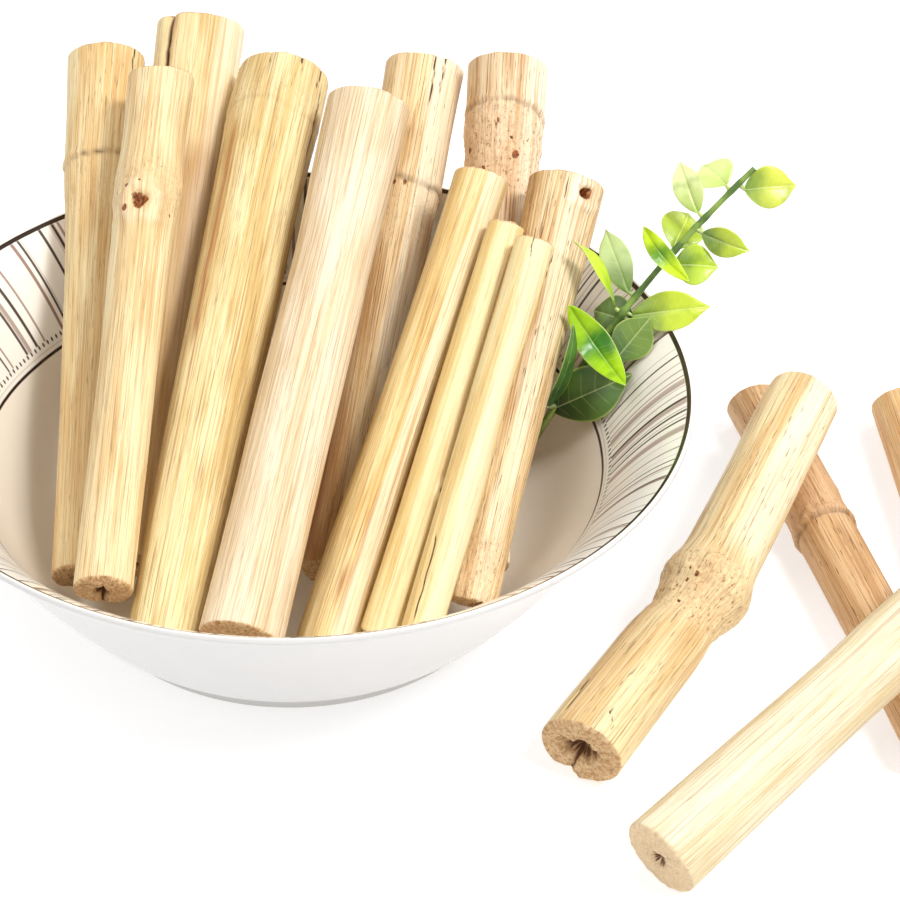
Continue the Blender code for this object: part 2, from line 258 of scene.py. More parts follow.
# Places on a cane are (share of its length from the foot, angle in degrees), where 0 is the
# level side on the right and 90 is the upper side. Lengths are in mm. slant is how far the
# upper edge of the head's cut sits back and that of the foot's cut sticks out.
# The pale-side entry (angle, spread, strength) is a painted highlight on the side that faces the key light,
# and may start only from a given share up the cane.
# The strip lists (start, end, angle, width, strength) give dark strips along a cane: some are real stains,
# others are painted shade in the gaps where a neighbouring cane shades this one.
caneLooks = {
    "bowl_cane_far_left": {
        "tones": ("efd8a4", "dfb97c"), "fibre": 0.6, "fleck": 0.45,
        "node": (0.757, 0.35, 0.95), "rough": (0.62, 0.76, 0.25),
        "cracks": [(0.93, 1.0, 38, 0, 0.25, 0.4)],
        "slant": (2.5, 0), "pith": (0.24, 1.0), "notch": (250, 0.6)},
    "bowl_cane_bud": {
        "tones": ("f1dcac", "e2c088"), "fibre": 0.65, "fleck": 0.15,
        "buds": [(0.69, 93, 1.8, 0.9, 0.9)], "rough": (0.68, 0.78, 0.75), "surround": 0.32,
        "spots": [(0.722, 118, 0.4), (0.728, 96, 0.35), (0.676, 118, 0.5), (0.68, 30, 0.3)],
        "slant": (2.6, 0), "pith": (0.3, 1.6), "notch": (262, 1.3)},
    "bowl_cane_back_left": {
        "tones": ("f0dba6", "dcb87a"), "fibre": 0.55, "fleck": 0.1,
        "cracks": [(0.84, 1.0, 128, 3, 0.6, 1.7)], "paleSide": (25, 45, 0.7),
        # the second strip is painted shade on the low part, where the neighbouring canes shade this one
        "stainsAndShade": [(0.84, 1.0, 124, 1.0, 0.95), (0.0, 0.72, 60, 6.0, 0.4)],
        "slant": (3.2, 0), "pith": (0.25, 1.2), "notch": (128, 1.8)},
    "bowl_cane_thick": {
        "tones": ("eedca6", "d8b978"), "fibre": 0.75, "fleck": 0.15,
        "node": (0.885, 0.1, 0.25), "rough": (0.86, 0.93, 0.3),
        "cracks": [(0.95, 1.0, 100, 0, 0.2, 0.4), (0.955, 1.0, 58, 4, 0.2, 0.4),
                   (0.94, 1.0, 27, -5, 0.22, 0.5), (0.82, 0.95, 14, 3, 0.4, 0.8)],
        "stainsAndShade": [(0.45, 0.84, 128, 0.6, 0.95), (0.1, 0.5, 140, 0.5, 0.5), (0.2, 0.8, 121, 0.2, 0.6)],
        "slant": (2.0, 4.2), "pith": (0.28, 1.2), "notch": (100, 0.5)},
    "bowl_cane_pale": {
        "tones": ("eedabb", "dcbe92"), "fibre": 0.7, "fleck": 0.1, "paleSide": (70, 70, 0.25),
        "slant": (2.7, 0.6), "pith": (0.2, 0.8), "notch": (40, 0.3)},
    "bowl_cane_back_middle": {
        "tones": ("ebcf9b", "cfa46a"), "fibre": 1.0, "fleck": 0.6,
        "node": (0.725, 0.3, 0.85), "rough": (0.6, 0.73, 0.6), "paleSide": (35, 38, 0.75),
        "spots": [(0.712, 112, 0.55), (0.712, 80, 0.6), (0.71, 97, 0.35)],
        "cracks": [(0.86, 1.0, 66, 2, 0.22, 0.45), (0.9, 1.0, 52, -2, 0.2, 0.4)],
        # this strip is painted shade on the low left side, between the canes on either side
        "stainsAndShade": [(0.0, 0.6, 150, 5.0, 0.85)],
        "slant": (2.4, 0), "pith": (0.22, 0.9), "notch": (60, 0.4)},
    "bowl_cane_back_right": {
        "tones": ("ead0a8", "c99e6e"), "fibre": 1.0, "fleck": 0.6,
        "node": (0.875, 0.3, 0.55), "rough": (0.70, 0.88, 1.5), "paleSide": (30, 40, 0.85),
        "spots": [(0.768, 70, 0.8), (0.835, 99, 0.3), (0.793, 151, 0.5), (0.80, 78, 0.35), (0.74, 120, 0.5)],
        "slant": (2.3, 0), "pith": (0.22, 0.9), "notch": (200, 0.4)},
    "bowl_cane_slim": {
        "tones": ("f0d698", "deb670"), "fibre": 0.75, "fleck": 0.15, "paleSide": (45, 28, 0.6),
        "stainsAndShade": [(0.08, 0.14, 80, 0.6, 0.9), (0.04, 0.3, 66, 0.4, 0.5)],
        "slant": (1.2, 1.4), "pith": (0.2, 0.6), "notch": (20, 0.2)},
    "bowl_cane_thin_left": {
        "tones": ("f4dea0", "e8c47c"), "fibre": 0.35, "fleck": 0.08, "paleSide": (60, 40, 0.3),
        # the strip along the left edge is painted shade in the gap to the next cane
        "buds": [(0.33, 20, 0.7, 0.2, 0.4)], "stainsAndShade": [(0.0, 1.0, 160, 0.5, 0.8)],
        "slant": (1.0, 2.2), "pith": (0.2, 0.4), "notch": (20, 0.1)},
    "bowl_cane_thin_right": {
        "tones": ("f4e0a8", "e6c480"), "fibre": 0.4, "fleck": 0.08, "paleSide": (45, 40, 0.5),
        "cracks": [(0.93, 1.0, 80, 2, 0.1, 0.2), (0.02, 0.2, 110, 6, 0.16, 0.4)],
        # the strip along the left edge is painted shade in the gap to the next cane
        "stainsAndShade": [(0.0, 0.95, 160, 0.5, 0.8)],
        "slant": (0.6, 2.2), "pith": (0.2, 0.4), "notch": (20, 0.1)},
    "bowl_cane_right": {
        "tones": ("efd6a6", "d2a66c"), "fibre": 1.0, "fleck": 0.9, "paleSide": (60, 30, 0.5),
        "buds": [(0.955, 47, 1.5, 1.6, 0.5)], "rough": (0.0, 0.14, 0.9),
        "slant": (1.7, 1.0), "pith": (0.22, 0.8), "notch": (47, 0.8)},
    "loose_cane_front": {
        "tones": ("f2deac", "dfb97f"), "fibre": 0.65, "fleck": 0.6,
        "node": (0.40, 0.1, 0.15), "rough": (0.31, 0.46, 1.6), "paleSide": (42, 40, 0.75),
        "paleFrom": 0.47, "bulges": [(0.445, 0.035, 0.9), (0.35, 0.045, -0.9), (0.9, 0.1, 0.3)],
        "spots": [(0.335, 92, 0.3), (0.40, 92, 0.35), (0.385, 100, 0.3), (0.37, 112, 0.3), (0.41, 104, 0.3)],
        "cracks": [(0.02, 0.05, 56, 25, 0.18, 0.3), (0.02, 0.1, 128, 5, 0.2, 0.35)],
        "slant": (0.8, 0), "pith": (0.46, 2.8), "notch": (250, 1.9)},
    "loose_cane_dark": {
        "tones": ("dab386", "bb8e5e"), "fibre": 0.9, "fleck": 1.0, "bleached": 0.15,
        "node": (0.57, 0.55, 1.0), "rough": (0.575, 0.69, 1.1),
        "slant": (2.4, 0), "pith": (0.22, 1.0), "notch": (80, 0.4)},
    "loose_cane_across": {
        "tones": ("ecdfbf", "dcc596"), "fibre": 0.5, "faceBleach": 0.55, "fleck": 0.05,
        "paleSide": (80, 60, 0.3),
        "slant": (1.0, 0), "pith": (0.24, 0.9), "notch": (43, 0.5)},
    "loose_cane_end": {
        "tones": ("ecc78e", "d6a468"), "fibre": 0.7, "fleck": 0.25, "paleSide": (20, 40, 0.5),
        "slant": (2.6, 0), "pith": (0.22, 0.9), "notch": (80, 0.4)},
}


def caneBlank(node):
    # Ends, directions and cross-sections of a CAD cane. Planes across its axis cut the mesh,
    # and each cut gives a centre and a radius of r0 + r1 cos 2a + r2 sin 2a.
    corners, triangles = cadCorners(node)
    single = np.unique(np.round(corners, 6), axis=0)
    axis = np.linalg.svd(single - single.mean(0), full_matrices=False)[2][0]
    for _ in range(3):
        run = single @ axis
        low = single[run < run.min() + 3 * mm].mean(0)
        high = single[run > run.max() - 3 * mm].mean(0)
        axis = (high - low) / np.linalg.norm(high - low)
    foot, head = (low, high) if low[1] < high[1] else (high, low)
    length = np.linalg.norm(head - foot)
    along = (head - foot) / length
    side = np.cross(along, (0, 0, 1))
    side /= np.linalg.norm(side)
    up = np.cross(side, along)
    turned = (corners - foot) @ np.stack([side, up, along], 1)
    shares = np.linspace(0.004, 0.996, caneMake["sections"])
    centres, radii = [], []
    for cut in planeCuts(turned, triangles, shares * length):
        circle = np.c_[2 * cut, np.ones(len(cut))]
        x, y, _ = np.linalg.lstsq(circle, (cut**2).sum(1), rcond=None)[0]
        angle = np.arctan2(cut[:, 1] - y, cut[:, 0] - x)
        reach = np.hypot(cut[:, 1] - y, cut[:, 0] - x)
        waves = np.c_[np.ones(len(cut)), np.cos(2 * angle), np.sin(2 * angle)]
        centres.append((x, y))
        radii.append(np.linalg.lstsq(waves, reach, rcond=None)[0] * caneMake["chordGain"])
    axes = np.stack([side, up, along])
    return foot, axes, length / mm, shares, np.array(centres) / mm, np.array(radii) / mm


def bell(distance, width):
    return np.exp(-(distance / width) ** 2)


def ease(value, low, high):
    share = np.clip((value - low) / (high - low), 0, 1)
    return share**2 * (3 - 2 * share)


def window(value, opens, shuts):
    # 0 before it opens and after it shuts, 1 between, eased over both pairs
    return ease(value, *opens) * (1 - ease(value, *shuts))


def caneRows(length):
    # Each row's place along the cane, how far it is drawn in, its share of the radius, and
    # how much it belongs to the foot's face (-1), the body (0) or the head's face (1).
    edge = caneMake["wornEdge"]
    spread = np.linspace(0.04, 1, caneMake["faceRows"])
    turn = np.linspace(0, math.pi / 2, caneMake["edgeRows"] + 2)[1:-1]
    body = np.linspace(edge, length - edge, caneMake["bodyRows"])
    place = np.concatenate([0 * spread, edge * (1 - np.cos(turn)), body])
    drawn = np.concatenate([edge + 0 * spread, edge * (1 - np.sin(turn)), 0 * body])
    share = np.concatenate([spread, 1 + 0 * turn, 1 + 0 * body])
    face = np.concatenate([-1 + 0 * spread, -np.cos(turn), 0 * body])
    cap = len(spread) + len(turn)
    place = np.concatenate([place, (length - place[:cap])[::-1]])
    drawn = np.concatenate([drawn, drawn[:cap][::-1]])
    share = np.concatenate([share, share[:cap][::-1]])
    face = np.concatenate([face, -face[:cap][::-1]])
    return place[:, None], drawn[:, None], share[:, None], face[:, None]


def caneSurface(node, look, seed):
    # A radius carried along the cane's axis: the CAD section, plus ribs, lumps, node ring,
    # bud scars, cracks and end notches, each a bell curve of the distance to its place.
    foot, axes, length, shares, centres, radii = caneBlank(node)
    place, drawn, share, face = caneRows(length)
    turn = np.arange(caneMake["columns"])[None] / caneMake["columns"]
    angle = turn * fullTurn
    keys = place[:, 0] / length
    middle = np.stack([np.interp(keys, shares, centres[:, i]) for i in (0, 1)], 1)
    waves = np.stack([np.interp(keys, shares, radii[:, i]) for i in (0, 1, 2)], 1)
    middle, waves = smoothRows(middle, 5.0), smoothRows(waves, 4.0)
    radius = (waves[:, :1] + waves[:, 1:2] * np.cos(2 * angle) + waves[:, 2:] * np.sin(2 * angle))
    size = waves[:, :1]

    def across(degrees):
        # distance in mm round the cane from a line along it
        return (np.mod(turn - degrees / 360 + 0.5, 1) - 0.5) * fullTurn * size

    masks = {key: np.zeros(radius.shape) for key in ("cut", "scar", "bark", "stain", "paleSide", "ring")}
    grain = softNoise(turn, place / 1.1, 44, seed + 4)
    relief = caneMake["ribHeight"] * softNoise(turn, place / 70, 46, seed)
    relief = relief + 0.6 * caneMake["ribHeight"] * softNoise(turn, place / 30, 23, seed + 1)
    relief = relief + caneMake["lumpHeight"] * softNoise(turn, place / 24, 4, seed + 2)
    for where, width, height in look.get("bulges", []):
        relief = relief + height * bell(keys[:, None] - where, width)
    if "node" in look:
        where, ridge, dark = look["node"]
        wander = 0.9 * softNoise(turn, 0 * turn, 7, seed + 3) + 0.3 * softNoise(turn, 0 * turn, 31, seed + 5)
        off = place - where * length - wander
        relief = relief + ridge * bell(off - 1.1, 1.0) - ridge * 0.9 * bell(off, 0.5)
        broken = 0.65 + 0.5 * softNoise(turn, 0 * turn, 29, seed + 6)
        masks["ring"] += dark * bell(off, 0.55) * np.clip(broken, 0, 1)
    if "rough" in look:
        start, end, strength = look["rough"]
        zone = window(keys[:, None], (start - 0.03, start + 0.02), (end - 0.02, end + 0.02))
        zone = zone * (0.75 + 0.35 * softNoise(turn, place / 5, 5, seed + 7))
        relief = relief + strength * zone * (0.16 * grain + 0.22 * softNoise(turn, place / 3, 14, seed + 8))
        masks["bark"] += np.clip(strength * zone, 0, 1)
    for where, degrees, width, depth, rise in look.get("buds", []):
        along, sideways = place - where * length, across(degrees)
        rag = 1 + 0.25 * softNoise(turn, place / 1.5, 30, seed + 9)
        distance = np.hypot(along / 1.1, sideways) / width * rag
        relief = relief + rise * bell(distance - 1.6, 1.1)
        relief = relief - depth * bell(distance**2, 0.8) * (1 + 0.8 * grain)
        masks["scar"] += bell(distance**2, 1.1) * (0.85 + 0.4 * grain)
        # a pale ring round the bud, kept in the same mask as the painted highlight
        masks["paleSide"] += look.get("surround", 0.4) * bell(distance - 1.9, 0.75)
        masks["bark"] *= 1 - 0.7 * bell(distance - 1.7, 0.8)
    for where, degrees, width in look.get("spots", []):
        distance = np.hypot((place - where * length) / 1.4, across(degrees)) / width
        distance = distance * (1 + 0.35 * grain)
        relief = relief - 0.3 * width * bell(distance, 0.9)
        masks["scar"] += 0.85 * bell(distance**2, 1.2)
    for start, end, degrees, slant, width, depth in look.get("cracks", []):
        run = np.clip((keys[:, None] - start) / (end - start), 0, 1)
        wave = 0.22 * softNoise(0 * turn + 0.3, place / 2.5, 3, seed + 10)
        inside = window(keys[:, None], (start - 0.01, start + 0.03), (end, end + 0.02))
        split = bell(across(degrees + slant * (run - 0.5)) + wave, width) * inside
        relief = relief - depth * split
        masks["cut"] += split
    # dark strips along the cane: real stains, and painted shade where a neighbouring cane shades this one
    for start, end, degrees, width, strength in look.get("stainsAndShade", []):
        wave = 0.15 * softNoise(0 * turn + 0.6, place / 6, 3, seed + 11)
        inside = window(keys[:, None], (start - 0.03, start + 0.03), (end - 0.03, end + 0.03))
        masks["stain"] += strength * inside * bell(across(degrees) + wave, width)
    # painted highlight: the side that faces the key light is painted pale, from the given share on
    if "paleSide" in look:
        degrees, spread, strength = look["paleSide"]
        ragged = 10 * softNoise(turn, place / 16, 9, seed + 12)
        off = (np.mod(turn - degrees / 360 + 0.5, 1) - 0.5) * 360 + ragged
        above = ease(keys[:, None], look.get("paleFrom", -1.0), look.get("paleFrom", -1.0) + 0.08)
        masks["paleSide"] += strength * above * (1 - ease(np.abs(off), spread * 0.6, spread))
    notchAngle, notchDepth = look["notch"]
    nearEnd = np.exp(-place / 7) + 0.7 * np.exp(-(length - place) / 5)
    notch = bell(across(notchAngle), 1.3 + 0.3 * notchDepth) * nearEnd
    relief = relief - notchDepth * notch

    reach = share * (radius + relief - drawn)
    onFace = np.abs(face) ** 3
    flat = reach / size
    pithShare, pithDepth = look["pith"]
    pithShare = pithShare * (1 + 0.35 * softNoise(turn, 0 * turn, 9, seed + 13))
    hollow = 1 - ease(flat, pithShare * 0.45, pithShare * 1.15)
    rays = np.clip(softNoise(turn, 0 * turn, 26, seed + 14) - 0.45, 0, 1) * ease(flat, 0.1, 0.3)
    wander = math.radians(notchAngle) + 0.22 * softNoise(0 * turn + 0.5, flat * 4, 3, seed + 17)
    split = bell(reach * np.sin(angle - wander), 0.2) * (np.cos(angle - wander) > 0)
    split = split * min(0.7, notchDepth)
    fuzz = caneMake["faceGrain"] * softNoise(turn, flat * 9, 40, seed + 15) * ease(flat, 0.05, 0.3)
    fuzz = fuzz + 0.2 * softNoise(turn, flat * 3, 7, seed + 16)
    dome = 0.35 * (1 - flat**2)
    pushed = dome + fuzz - pithDepth * hollow - 0.5 * rays - 0.6 * split
    place = place + np.sign(face) * onFace * pushed
    headSlant, footSlant = look["slant"]
    lean = headSlant * ease(place, length - 16, length) + footSlant * (1 - ease(place, 0, 16))
    place = place - lean * flat * np.sin(angle)
    masks["cut"] += onFace * (0.95 * hollow * (0.75 + 0.5 * grain) + 0.5 * rays + 0.7 * split)
    masks["cut"] += (notchDepth > 0.7) * 0.35 * notch * onFace
    masks["endFace"] = np.abs(face) * np.ones(turn.shape)

    x = middle[:, :1] + reach * np.cos(angle)
    y = middle[:, 1:] + reach * np.sin(angle)
    points = foot + (x[..., None] * axes[0] + y[..., None] * axes[1] + place[..., None] * axes[2]) * mm
    drawnOn = caneMake["coatRadius"] * share
    coat = np.stack([drawnOn * np.cos(angle), drawnOn * np.sin(angle), place], -1)
    masks = {key: np.clip(value, 0, 1) for key, value in masks.items()}
    return points, {"caneCoat": coat, **masks}


caneColours = {
    "fibreBrown": paint("b98a52"),
    "fleckBrown": paint("6e4a2a"),
    "streakPale": paint("fbf1d6"),
    "barkBrown": paint("8f6238"),
    "barkDark": paint("4c2d17"),
    "barkPink": paint("d9b08c"),
    "scarRed": paint("a8602c"),
    "scarDark": paint("4f2712"),
    "crackDark": paint("452818"),
    "hollowBrown": paint("6f4726"),
    # brown for real stains and for painted shade between canes
    "stainShadeBrown": paint("a86a3c"),
    "faceTan": paint("dcb98c"),
    "faceBrown": paint("b48757"),
    "facePale": paint("f0dcb8"),
}


def caneMaterial(node, look, seed):
    # Dried cane: long fibres drawn on the cane's own coat coordinates, with marks from masks.
    sh = Shader("driedCane" + pieceName(node).capitalize())
    c = caneColours
    coat = sh.add("Mapping", {}, {
        "Vector": sh.attribute("caneCoat", "Vector"), "Location": (0.0, 0.0, 57.0 * seed)})
    face, cut, scar = (sh.attribute(key) for key in ("endFace", "cut", "scar"))
    bark, stain, paleAndLit, ring = (sh.attribute(key) for key in ("bark", "stain", "paleSide", "ring"))
    broad = sh.noise(coat, 0.22, 2.0, 0.5, (1, 1, 0.15))
    streak = sh.noise(coat, 1.1, 3.0, 0.6, (1, 1, 0.014))
    fibre = sh.noise(coat, 2.6, 2.0, 0.6, (1, 1, 0.011))
    hair = sh.noise(coat, 3.6, 2.0, 0.6, (1, 1, 0.016))
    line = sh.noise(coat, 2.2, 1.0, 0.5, (1, 1, 0.009))
    dash = sh.noise(coat, 3.0, 1.0, 0.5, (1, 1, 0.07))
    grain = sh.noise(coat, 1.5, 4.0, 0.7)
    squiggle = sh.noise(coat, 1.7, 3.0, 0.65, (1, 1, 0.55))

    light, deep = (paint(tone) for tone in look["tones"])
    colour = sh.mix(sh.step(broad, 0.35, 0.65), light, deep)
    colour = sh.mix(sh.step(streak, 0.52, 0.7) * 0.5, colour, light)
    colour = sh.mix(sh.step(streak, 0.47, 0.28) * (0.4 * look["fibre"]), colour, c["fibreBrown"])
    paleFibre = sh.mix(look.get("bleached", 0.6), light, c["streakPale"])
    colour = sh.mix(sh.step(fibre, 0.53, 0.62) * (0.6 * look["fibre"]), colour, paleFibre)
    colour = sh.mix(sh.step(fibre, 0.46, 0.37) * (0.6 * look["fibre"]), colour, c["fibreBrown"])
    colour = sh.mix(sh.step(hair, 0.42, 0.36) * (0.75 * look["fibre"]), colour, c["barkBrown"])
    thread = sh.step(sh.math("ABSOLUTE", line - 0.5), 0.012, 0.004) * sh.step(dash, 0.42, 0.55)
    colour = sh.mix(thread * (0.8 * look["fibre"]), colour, c["barkBrown"])
    # painted highlight on the lit side, plus the pale rings round buds, with the darker fibres left showing
    colour = sh.mix(paleAndLit * (0.9 - 0.6 * sh.step(fibre, 0.5, 0.38)), colour, c["streakPale"])
    colour = sh.mix(sh.step(dash, 0.33, 0.27) * look["fleck"], colour, c["fleckBrown"])
    # real stains and painted shade between canes darken the fibres here
    colour = sh.mix(stain * (0.6 + 0.6 * fibre), colour, c["stainShadeBrown"])
    woody = sh.mix(sh.step(squiggle, 0.4, 0.62), c["barkPink"], light)
    colour = sh.mix(bark * 0.45, colour, woody)
    colour = sh.mix(bark * sh.step(squiggle, 0.40, 0.31), colour, c["barkBrown"])
    colour = sh.mix(bark * sh.step(grain, 0.37, 0.31), colour, c["barkDark"])
    colour = sh.mix(ring * (0.55 + 0.5 * grain), colour, c["barkDark"])

    speck = sh.noise(coat, 1.3, 4.0, 0.75, (1, 1, 0.3))
    flesh = sh.mix(sh.step(speck, 0.38, 0.56), c["faceBrown"], c["faceTan"])
    flesh = sh.mix(sh.step(speck, 0.58, 0.72), flesh, c["facePale"])
    flesh = sh.mix(look.get("faceBleach", 0.0), flesh, c["facePale"])
    colour = sh.mix(sh.step(face, 0.25, 0.8), colour, flesh)
    scarred = sh.mix(sh.step(grain, 0.4, 0.6), c["scarDark"], c["scarRed"])
    scarred = sh.mix(sh.step(squiggle, 0.6, 0.72) * 0.5, scarred, c["barkPink"])
    torn = scar * (0.35 + 1.3 * grain) + (squiggle - 0.5) * scar * 1.6
    colour = sh.mix(sh.step(torn, 0.28, 0.5), colour, scarred)
    dark = sh.mix(sh.step(face, 0.3, 0.8) * sh.step(speck, 0.3, 0.6), c["crackDark"], c["hollowBrown"])
    colour = sh.mix(sh.step(cut, 0.2, 0.75), colour, dark)

    rough = 0.5 + 0.18 * (1 - fibre) + 0.25 * sh.step(face, 0.2, 0.8) + 0.1 * bark
    height = (fibre * 0.45 + streak * 0.3 + hair * 0.15 + sh.step(dash, 0.27, 0.36) * 0.25
              + grain * (0.15 + 0.9 * sh.step(face, 0.2, 0.8) + 0.5 * bark))
    return sh.finish(colour, rough, height, 0.22 * mm, **{"Specular IOR Level": 0.35})


def buildCanes():
    for number, (node, look) in enumerate(caneLooks.items()):
        seed = 101 + 37 * number
        points, attributes = caneSurface(node, look, seed)
        mesh = closedTube(pieceName(node), points, attributes)
        placePiece(pieceName(node), mesh, caneMaterial(node, look, number), "dried_cane", node)


bowlMake = {
    "columns": 288,
    "floorRadius": 33.0,      # mm, like the rest of the section
    "floorHeight": 5.4,
    "wellRadius": 60.4,
    "wellHeight": 28.0,
    "lipWidth": 1.2,
    "footRadius": 43.4,
    "footInner": 40.2,
    "footHeight": 3.0,
    "recess": 2.4,
    "ringRadius": 60.4,       # dark printed ring round the well
    "dotRadius": 61.7,
    "dotCount": 290,
    "strokeStart": 62.0,
    "strokeEnd": 75.0,
    "rimLine": 75.5,
    "glaze": paint("d6d4d2"),
    "wellCream": paint("f6ecdc"),
    "bandCream": paint("fbf6ec"),
    "inkDark": paint("2c1c18"),
    "inkBrown": paint("7c4636"),
    "inkGrey": paint("a59a90"),
    "bareClay": paint("ddd2c2"),
}


def bezier(start, lead, trail, end, steps):
    # cubic curve in (radius, height): the usual four weights on the four points
    t = np.linspace(0, 1, steps)[:, None]
    start, lead, trail, end = (np.array(point, float) for point in (start, lead, trail, end))
    return (1 - t) ** 3 * start + 3 * t * (1 - t) ** 2 * lead + 3 * t * t * (1 - t) * trail + t**3 * end


def bowlSurface():
    # A section turned round the bowl's axis: up the inside, over the lip, down the wall.
    b = bowlMake
    low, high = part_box("bowl")
    rim, top = (high.x - low.x) / 2 / mm, (high.z - low.z) / mm
    lip = (rim - b["lipWidth"], top - 0.5)
    well = (b["wellRadius"], b["wellHeight"])
    edge, level = b["floorRadius"], b["floorHeight"]
    foot, rise = b["footRadius"], b["footHeight"]
    inner, recess = b["footInner"], b["recess"]
    floor = bezier((0.5, level - 0.2), (12, level - 0.2), (24, level), (edge, level), 14)
    inside = bezier((edge, level), (47, level), (well[0] - 6, well[1] - 10), well, 44)
    flare = bezier(well, (well[0] + 4, well[1] + 7), (lip[0] - 6, lip[1] - 4.4), lip, 44)
    over = bezier(lip, (lip[0] + 0.5, top + 0.12), (rim, top + 0.1), (rim, top - 0.9), 12)
    wall = bezier((rim, top - 0.9), (rim - 5.5, top - 4.1), (foot + 10.2, rise + 6),
                  (foot + 1.2, rise), 70)
    ring = bezier((foot + 1.2, rise), (foot, rise - 0.5), (foot, 1.2), (foot, 0.5), 8)
    tread = bezier((foot, 0.5), (foot, 0.0), (foot - 0.3, 0.0), (foot - 0.8, 0.0), 6)
    under = bezier((inner + 0.5, 0.0), (inner, 0.0), (inner - 0.5, recess), (inner - 1.4, recess), 10)
    middle = np.stack([np.linspace(inner - 4, 0.5, 10), np.full(10, recess)], 1)
    section = np.concatenate([floor, inside[1:], flare[1:], over[1:], wall[1:], ring[1:],
                              tread[1:], under, middle])
    painted = np.zeros(len(section))
    painted[:len(floor) + len(inside) + len(flare) + 3] = 1.0
    angle = np.arange(b["columns"])[None] / b["columns"] * fullTurn
    radius, height = section[:, :1], section[:, 1:]
    centre = (low + high) / 2
    points = np.stack([centre.x + radius * mm * np.cos(angle), centre.y + radius * mm * np.sin(angle),
                       low.z + height * mm + 0 * angle], -1)
    return points, {"painted": painted[:, None] + 0 * angle}


def bowlMaterial():
    # Cream glaze with a printed band: radial strokes of three kinds, a dotted ring and two lines.
    sh = Shader("paintedGlaze")
    b = bowlMake
    low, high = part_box("bowl")
    centre = (low + high) / 2
    place = sh.add("TexCoord", {}, {}, "Object")
    centred = sh.add("Mapping", {}, {"Vector": place, "Location": (-centre.x, -centre.y, 0.0)})
    x, y, z = (sh.add("SeparateXYZ", {}, {"Vector": centred}, i) for i in (0, 1, 2))
    radius = sh.math("SQRT", x * x + y * y) / mm
    turn = sh.math("ARCTAN2", y, x) / fullTurn + 0.5
    wobble = sh.noise(centred, 90.0, 2.0)

    def ringLine(middle, halfWidth):
        off = sh.math("ABSOLUTE", radius - middle + (wobble - 0.5) * 0.15)
        return sh.step(off, halfWidth + 0.07, halfWidth - 0.07)

    def strokes(count, seed, chance, thin, thick):
        # one stroke in each of `count` cells round the band, kept by chance, jittered and varied
        cell = sh.math("FLOOR", turn * count)
        three = sh.add("TexWhiteNoise", {"noise_dimensions": "1D"}, {"W": cell + seed}, 1)
        keep, shift, weight = (sh.add("SeparateColor", {}, {0: three}, i) for i in (0, 1, 2))
        off = sh.math("ABSOLUTE", sh.math("FRACT", turn * count) - 0.5 - (shift - 0.5) * 0.5)
        width = (thin + weight * weight * (thick - thin)) * (count / (fullTurn * 68.0))
        line = sh.step(off, width * 1.35, width * 0.65)
        return line * (keep < chance), weight, shift

    starts = sh.step(radius, b["strokeStart"] - 0.2, b["strokeStart"] + 0.1)
    ends = sh.step(radius, b["strokeEnd"] + 0.6, b["strokeEnd"] - 0.2)
    band = starts * ends
    painted = sh.attribute("painted")
    pastRing = sh.step(radius, b["ringRadius"] - 0.3, b["ringRadius"] + 0.3)
    cream = sh.mix(pastRing, b["wellCream"], b["bandCream"])
    colour = sh.mix(painted, b["glaze"], cream)

    wide, _, _ = strokes(52, 11.5, 0.3, 0.4, 1.0)
    inner = sh.noise(sh.add("CombineXYZ", {}, {0: turn * 900.0}), 1.0, 1.0)
    colour = sh.mix(painted * band * wide * (0.3 + 0.6 * inner), colour, b["inkBrown"])
    grey, greyWeight, _ = strokes(190, 3.5, 0.5, 0.12, 0.24)
    colour = sh.mix(painted * band * grey * (0.4 + 0.5 * greyWeight), colour, b["inkGrey"])
    brown, brownWeight, _ = strokes(140, 7.5, 0.5, 0.16, 0.4)
    colour = sh.mix(painted * band * brown * (0.45 + 0.4 * brownWeight), colour, b["inkBrown"])
    dark, _, _ = strokes(112, 29.5, 0.62, 0.18, 0.4)
    colour = sh.mix(painted * band * dark * 0.92, colour, b["inkDark"])

    beadGap = fullTurn * b["dotRadius"] / b["dotCount"]
    bead = sh.math("ABSOLUTE", sh.math("FRACT", turn * b["dotCount"]) - 0.5) * beadGap
    fromDot = sh.math("SQRT", bead * bead + (radius - b["dotRadius"]) * (radius - b["dotRadius"]))
    colour = sh.mix(painted * sh.step(fromDot, 0.33, 0.2) * 0.9, colour, b["inkDark"])
    colour = sh.mix(painted * ringLine(b["ringRadius"], 0.17), colour, b["inkDark"])
    colour = sh.mix(painted * ringLine(b["ringRadius"] + 0.6, 0.06) * 0.4, colour, b["inkGrey"])
    colour = sh.mix(painted * ringLine(b["rimLine"], 0.38), colour, b["inkDark"])

    bare = sh.step(z, 0.5 * mm, 0.15 * mm)
    clay = sh.noise(centred, 900.0, 3.0)
    colour = sh.mix(bare, colour, sh.mix(clay, b["bareClay"], b["glaze"]))
    speck = sh.noise(centred, 700.0, 1.0)
    colour = sh.mix(sh.step(speck, 0.78, 0.84) * 0.25, colour, b["inkGrey"])
    rough = 0.16 + 0.1 * wobble + 0.5 * bare
    height = wobble + bare * clay * 0.4
    return sh.finish(colour, rough, height, 0.08 * mm, **{"Coat Weight": 0.2, "Coat Roughness": 0.08})


def buildBowl():
    points, attributes = bowlSurface()
    mesh = closedTube("bowlTurned", points, attributes, flip=True)
    placePiece("bowlTurned", mesh, bowlMaterial(), "white_glaze", "bowl")


stemMake = {
    "rings": 150,
    "columns": 28,
    "swell": 0.2,       # mm, where a pair of leaves leaves the stem
    "light": paint("86a248"),
    "deep": paint("4c6c28"),
    "footBrown": paint("5a4a22"),
}


